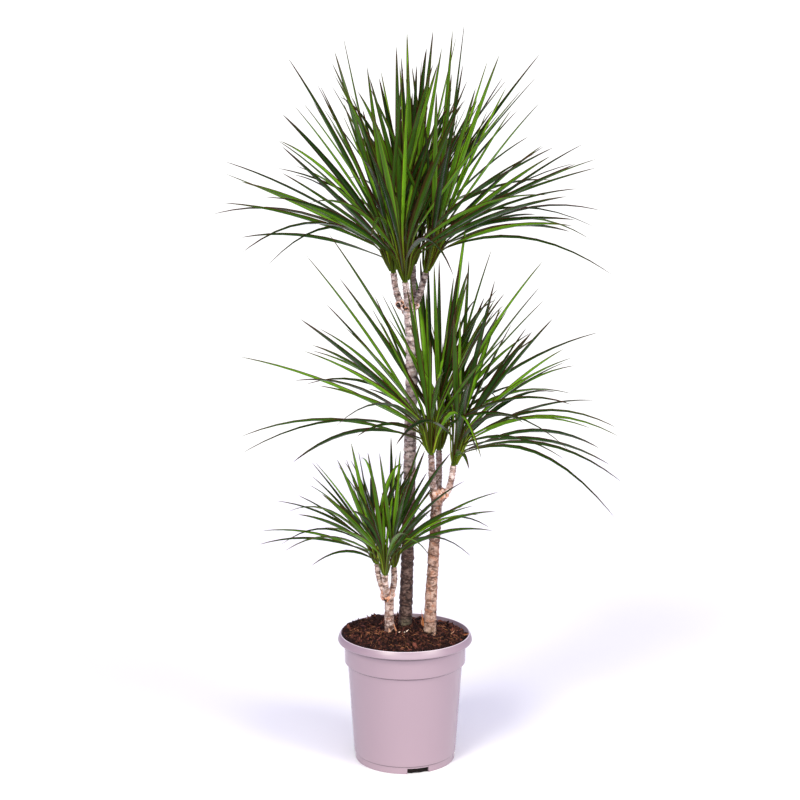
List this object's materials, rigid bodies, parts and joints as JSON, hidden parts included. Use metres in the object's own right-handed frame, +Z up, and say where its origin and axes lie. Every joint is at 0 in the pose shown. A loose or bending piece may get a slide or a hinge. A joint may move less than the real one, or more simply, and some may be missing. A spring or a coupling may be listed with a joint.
{
  "type": "potted dracaena",
  "caption": "House plant with forked woody canes of different heights, tufts of narrow sword leaves on their tips, and a tapering round nursery pot filled with soil.",
  "frame": {"origin": "middle of the pot's underside, on the surface it stands on", "axes": "+Z up along the pot's axis; +X to the viewer's right and -Y towards the viewer, as in the reference view"},
  "size_m": [0.7445, 0.7797, 1.2967],
  "materials": {
    "pot_plastic": "satin",
    "soil": "matte",
    "cane_bark": "matte",
    "leaf": "satin"
  },
  "bodies": {
    "root": {"pot": "pot_plastic", "soil": "soil", "cane_tall": "cane_bark", "cane_middle": "cane_bark", "cane_short": "cane_bark", "crown_tall_left": "leaf", "crown_tall_front": "leaf", "crown_tall_back": "leaf", "crown_tall_right": "leaf", "crown_middle_left": "leaf", "crown_middle_back": "leaf", "crown_middle_right": "leaf", "crown_short_left": "leaf", "crown_short_front": "leaf", "crown_short_right": "leaf"}
  },
  "joints": []
}
